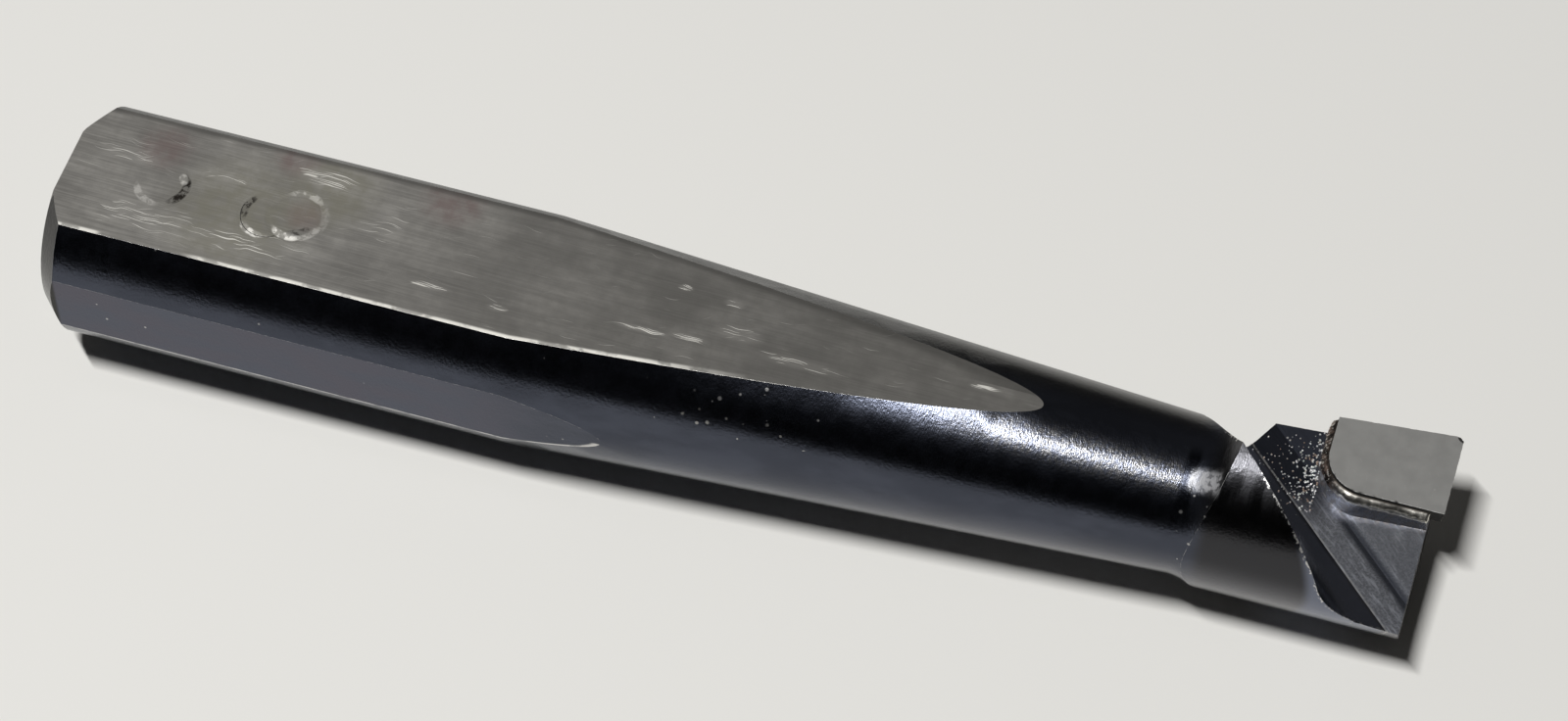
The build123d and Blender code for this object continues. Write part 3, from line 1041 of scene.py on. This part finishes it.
class BORINGBAR_OT_braze_bead(bpy.types.Operator):
    """Makes the lumpy braze bead round the inner and rear sides of the tip"""
    bl_idname = "boringbar.braze_bead"
    bl_label = "Braze bead"

    def execute(self, context):
        braze = settings_of(context)[2]
        bm = cad_copy("braze_joint")
        for axis in (0, 1):
            slice_along(bm, axis, CAD_LOW[axis], CAD_HIGH[axis], BEAD_PITCH * MM)
        slice_along(bm, 2, SEAT_TOP * MM, BEAD_CUTS_TOP * MM, BEAD_STEP * MM)
        bm.normal_update()
        for v in bm.verts:
            if v.normal.x < 0.5 and v.normal.y < 0.5:
                lump = 1.0 + sum(share * noise.noise(v.co / (size * MM)) for size, share in LUMPS)
                roll = max(0.0, 1.0 - (abs(v.co.z / MM - BEAD_MIDDLE) / BEAD_REACH) ** 2)
                outward = Vector((v.normal.x, v.normal.y, 0.0)).normalized()
                v.co += outward * max(0.0, lump) * roll * braze.bead_swell
        finish_piece("braze_bead", bm, "braze", make_braze_finish(braze), "braze_joint")
        return {"FINISHED"}


class BORINGBAR_OT_braze_droplets(bpy.types.Operator):
    """Spatters fine droplets of braze over the gullet behind the tip"""
    bl_idname = "boringbar.braze_droplets"
    bl_label = "Braze droplets"

    def execute(self, context):
        braze = settings_of(context)[2]
        steel = cad_copy("bar")
        surface = BVHTree.FromBMesh(steel)
        steel.free()
        draw = random.Random(SPATTER_SEED)
        bm = bmesh.new()
        while len(bm.faces) < 20 * braze.droplets:      # each has 20 faces
            x = TIP_REAR - SPATTER_GAP - draw.expovariate(SPATTER_RATE)
            y, radius = draw.triangular(*SPATTER_SPREAD), draw.uniform(*SPATTER_RADII) * MM
            place, normal, *_ = surface.ray_cast(Vector((x, y, 0.0)) * MM, -UP)
            if place and normal.z > 0.4 and place.z < SPATTER_TOP * MM:
                bmesh.ops.create_icosphere(bm, subdivisions=1, radius=radius,
                                           matrix=Matrix.Translation(place + normal * radius * 0.3))
        finish_piece("braze_droplets", bm, "braze", make_droplet_finish())
        return {"FINISHED"}


# ------------------------------------------------------------------------------ stage

FLOOR_SIZE = 3.0
PAPER_ROUGHNESS, PAPER_SHEEN = 0.9, 0.1
BLACK, ROOM_LIGHT, ROOM_LEVELS = (0.0, 0.0, 0.0), (1.0, 0.98, 0.95), (0.001, 0.080)
LAMP_SIZE, LAMP_DISTANCE, LAMP_SIDE = (0.35, 0.03), 1.2, (-0.20, -0.24, 1.0)
SENSOR_WIDTH, LENS, NEAREST = 36.0, 103.796, 0.01       # millimetres, and metres to the clip
CAMERA_PLACE = (0.16177, -0.26797, 0.39607)
CAMERA_AXES = ((0.9559, 0.2935, 0.0044), (-0.2410, 0.7762, 0.5827), (0.1676, -0.5581, 0.8127))


class BORINGBAR_OT_stage(bpy.types.Operator):
    """Lays the floor, hangs the lamp and sets the camera"""
    bl_idname = "boringbar.stage"
    bl_label = "Stage"

    def execute(self, context):
        stage = settings_of(context)[3]
        scene = context.scene

        bm = bmesh.new()
        bmesh.ops.create_grid(bm, x_segments=1, y_segments=1, size=FLOOR_SIZE)
        # the bar rests on its shank's front end and on the foot of its head
        touch = Vector((SHANK_END, 0.0, FLOOR_AT_SHANK)) * MM
        lean = math.atan2(FLOOR_AT_SHANK - FLOOR_AT_HEAD, HEAD_FRONT - SHANK_END)
        bmesh.ops.translate(bm, verts=bm.verts, vec=touch)
        bmesh.ops.rotate(bm, verts=bm.verts, cent=touch, matrix=Matrix.Rotation(lean, 3, "Y"))
        mesh = bpy.data.meshes.new("floor")
        bm.to_mesh(mesh)
        bm.free()
        floor = bpy.data.objects.new("floor", mesh)
        scene.collection.objects.link(floor)
        paper = bpy.data.materials.new("pale_paper")
        paper.use_nodes = True
        shader = paper.node_tree.nodes["Principled BSDF"]
        shader.inputs["Base Color"].default_value = (*stage.floor_colour, 1.0)
        shader.inputs["Roughness"].default_value = PAPER_ROUGHNESS
        shader.inputs["Specular IOR Level"].default_value = PAPER_SHEEN
        mesh.materials.append(paper)

        world = bpy.data.worlds.new("dim_room")
        scene.world = world
        world.use_nodes = True
        tree = world.node_tree
        axes = part(tree.nodes.new("ShaderNodeTexCoord").outputs["Generated"])
        # darker towards the front, paler behind and at the sides
        back = span(axes["Y"], -0.35, 0.9)
        side = span(calc("ABSOLUTE", axes["X"]), 0.35, 1.0)
        level = span(either(back, side), 0.0, 1.0, *ROOM_LEVELS)
        tree.links.new(blend(level, BLACK, ROOM_LIGHT), tree.nodes["Background"].inputs["Color"])

        # the soft lamp, above the bar and a little towards its rear and its -Y side
        lamp_data = bpy.data.lights.new("soft_lamp", "AREA")
        lamp_data.shape = "RECTANGLE"
        lamp_data.size, lamp_data.size_y = LAMP_SIZE
        lamp_data.energy = stage.lamp_power
        lamp = bpy.data.objects.new("soft_lamp", lamp_data)
        towards_lamp = Vector(LAMP_SIDE).normalized()
        lamp.location = (CAD_LOW + CAD_HIGH) / 2 + towards_lamp * LAMP_DISTANCE
        lamp.rotation_euler = (-towards_lamp).to_track_quat("-Z", "Y").to_euler()
        scene.collection.objects.link(lamp)

        camera_data = bpy.data.cameras.new("camera")
        camera_data.sensor_width, camera_data.lens = SENSOR_WIDTH, LENS
        camera_data.clip_start = NEAREST
        camera = bpy.data.objects.new("camera", camera_data)
        turn = Matrix(CAMERA_AXES).transposed().to_quaternion().to_matrix().to_4x4()
        camera.matrix_world = Matrix.Translation(CAMERA_PLACE) @ turn
        scene.collection.objects.link(camera)
        scene.camera = camera
        scene.view_settings.view_transform = "Standard"
        return {"FINISHED"}


class BORINGBAR_PT_panel(bpy.types.Panel):
    """Settings and pieces of the boring bar"""
    bl_label = "Boring Bar"
    bl_idname = "BORINGBAR_PT_panel"
    bl_space_type = "VIEW_3D"
    bl_region_type = "UI"
    bl_category = "Boring Bar"

    def draw(self, context):
        layout = self.layout
        for group, (label, *operators) in zip(settings_of(context), STEPS):
            box = layout.box()
            box.label(text=label)
            for name in group.bl_rna.properties.keys():
                if name not in ("rna_type", "name"):
                    box.prop(group, name)
            for operator in operators:
                box.operator(operator.bl_idname)


STEPS = (
    ("Steel bar", BORINGBAR_OT_steel_bar),
    ("Carbide tip", BORINGBAR_OT_carbide_tip),
    ("Braze", BORINGBAR_OT_braze_bead, BORINGBAR_OT_braze_droplets),
    ("Stage", BORINGBAR_OT_stage),
)
CLASSES = (
    BarSettings, TipSettings, BrazeSettings, StageSettings,
    *(operator for step in STEPS for operator in step[1:]), BORINGBAR_PT_panel,
)
SETTINGS = {
    "boring_bar": BarSettings, "boring_tip": TipSettings, "boring_braze": BrazeSettings,
    "boring_stage": StageSettings,
}


def register():
    for cls in CLASSES:
        bpy.utils.register_class(cls)
    for name, group in SETTINGS.items():
        setattr(bpy.types.Scene, name, bpy.props.PointerProperty(type=group))


def unregister():
    for name in SETTINGS:
        delattr(bpy.types.Scene, name)
    for cls in reversed(CLASSES):
        bpy.utils.unregister_class(cls)


def main():
    register()
    bpy.ops.boringbar.steel_bar()
    bpy.ops.boringbar.carbide_tip()
    bpy.ops.boringbar.braze_bead()
    bpy.ops.boringbar.braze_droplets()
    bpy.ops.boringbar.stage()


if __name__ == "__main__":
    main()
